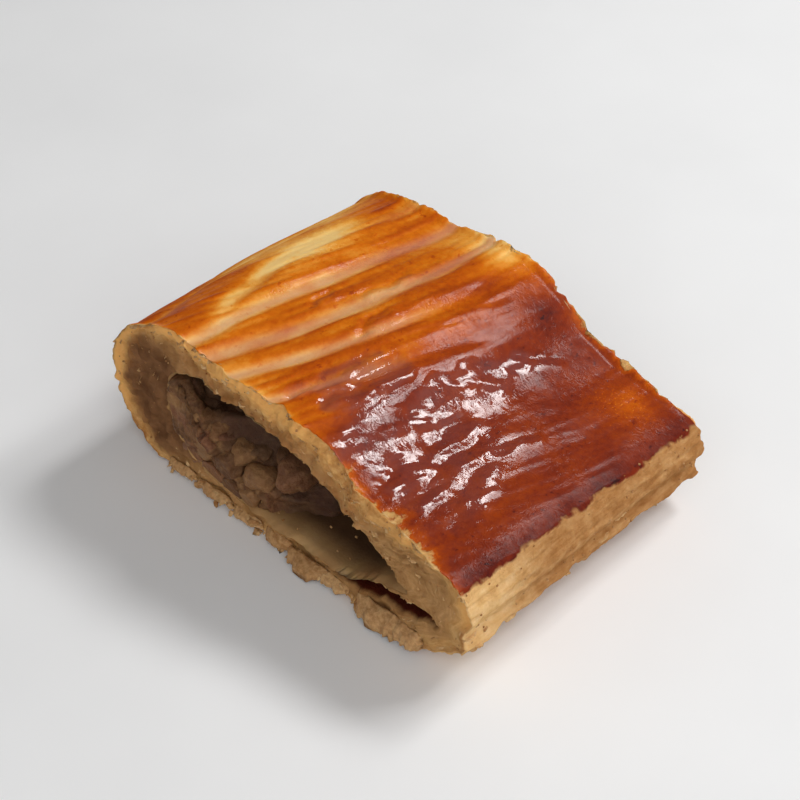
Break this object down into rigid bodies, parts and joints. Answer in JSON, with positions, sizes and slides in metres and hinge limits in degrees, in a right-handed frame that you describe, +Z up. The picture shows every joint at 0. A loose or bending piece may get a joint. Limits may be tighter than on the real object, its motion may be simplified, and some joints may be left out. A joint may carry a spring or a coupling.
{
  "type": "sausage roll",
  "caption": "Cut piece of baked sausage roll: glazed, fork-combed puff pastry folded round minced meat, with a steam pocket open at both cut ends.",
  "frame": {"origin": "middle of the bounding box's underside, on the tray side", "axes": "+X across the roll from the fold to the sealed side, +Y along the roll from the front cut to the back cut, +Z up"},
  "size_m": [0.07, 0.047, 0.0286],
  "materials": {
    "pastry": "glossy egg-washed puff pastry, golden orange to red-brown, pale and layered where it is cut",
    "meat_filling": "moist minced meat, grey-brown"
  },
  "bodies": {
    "root": {"pastry": "pastry", "meat_filling": "meat_filling"}
  },
  "joints": []
}
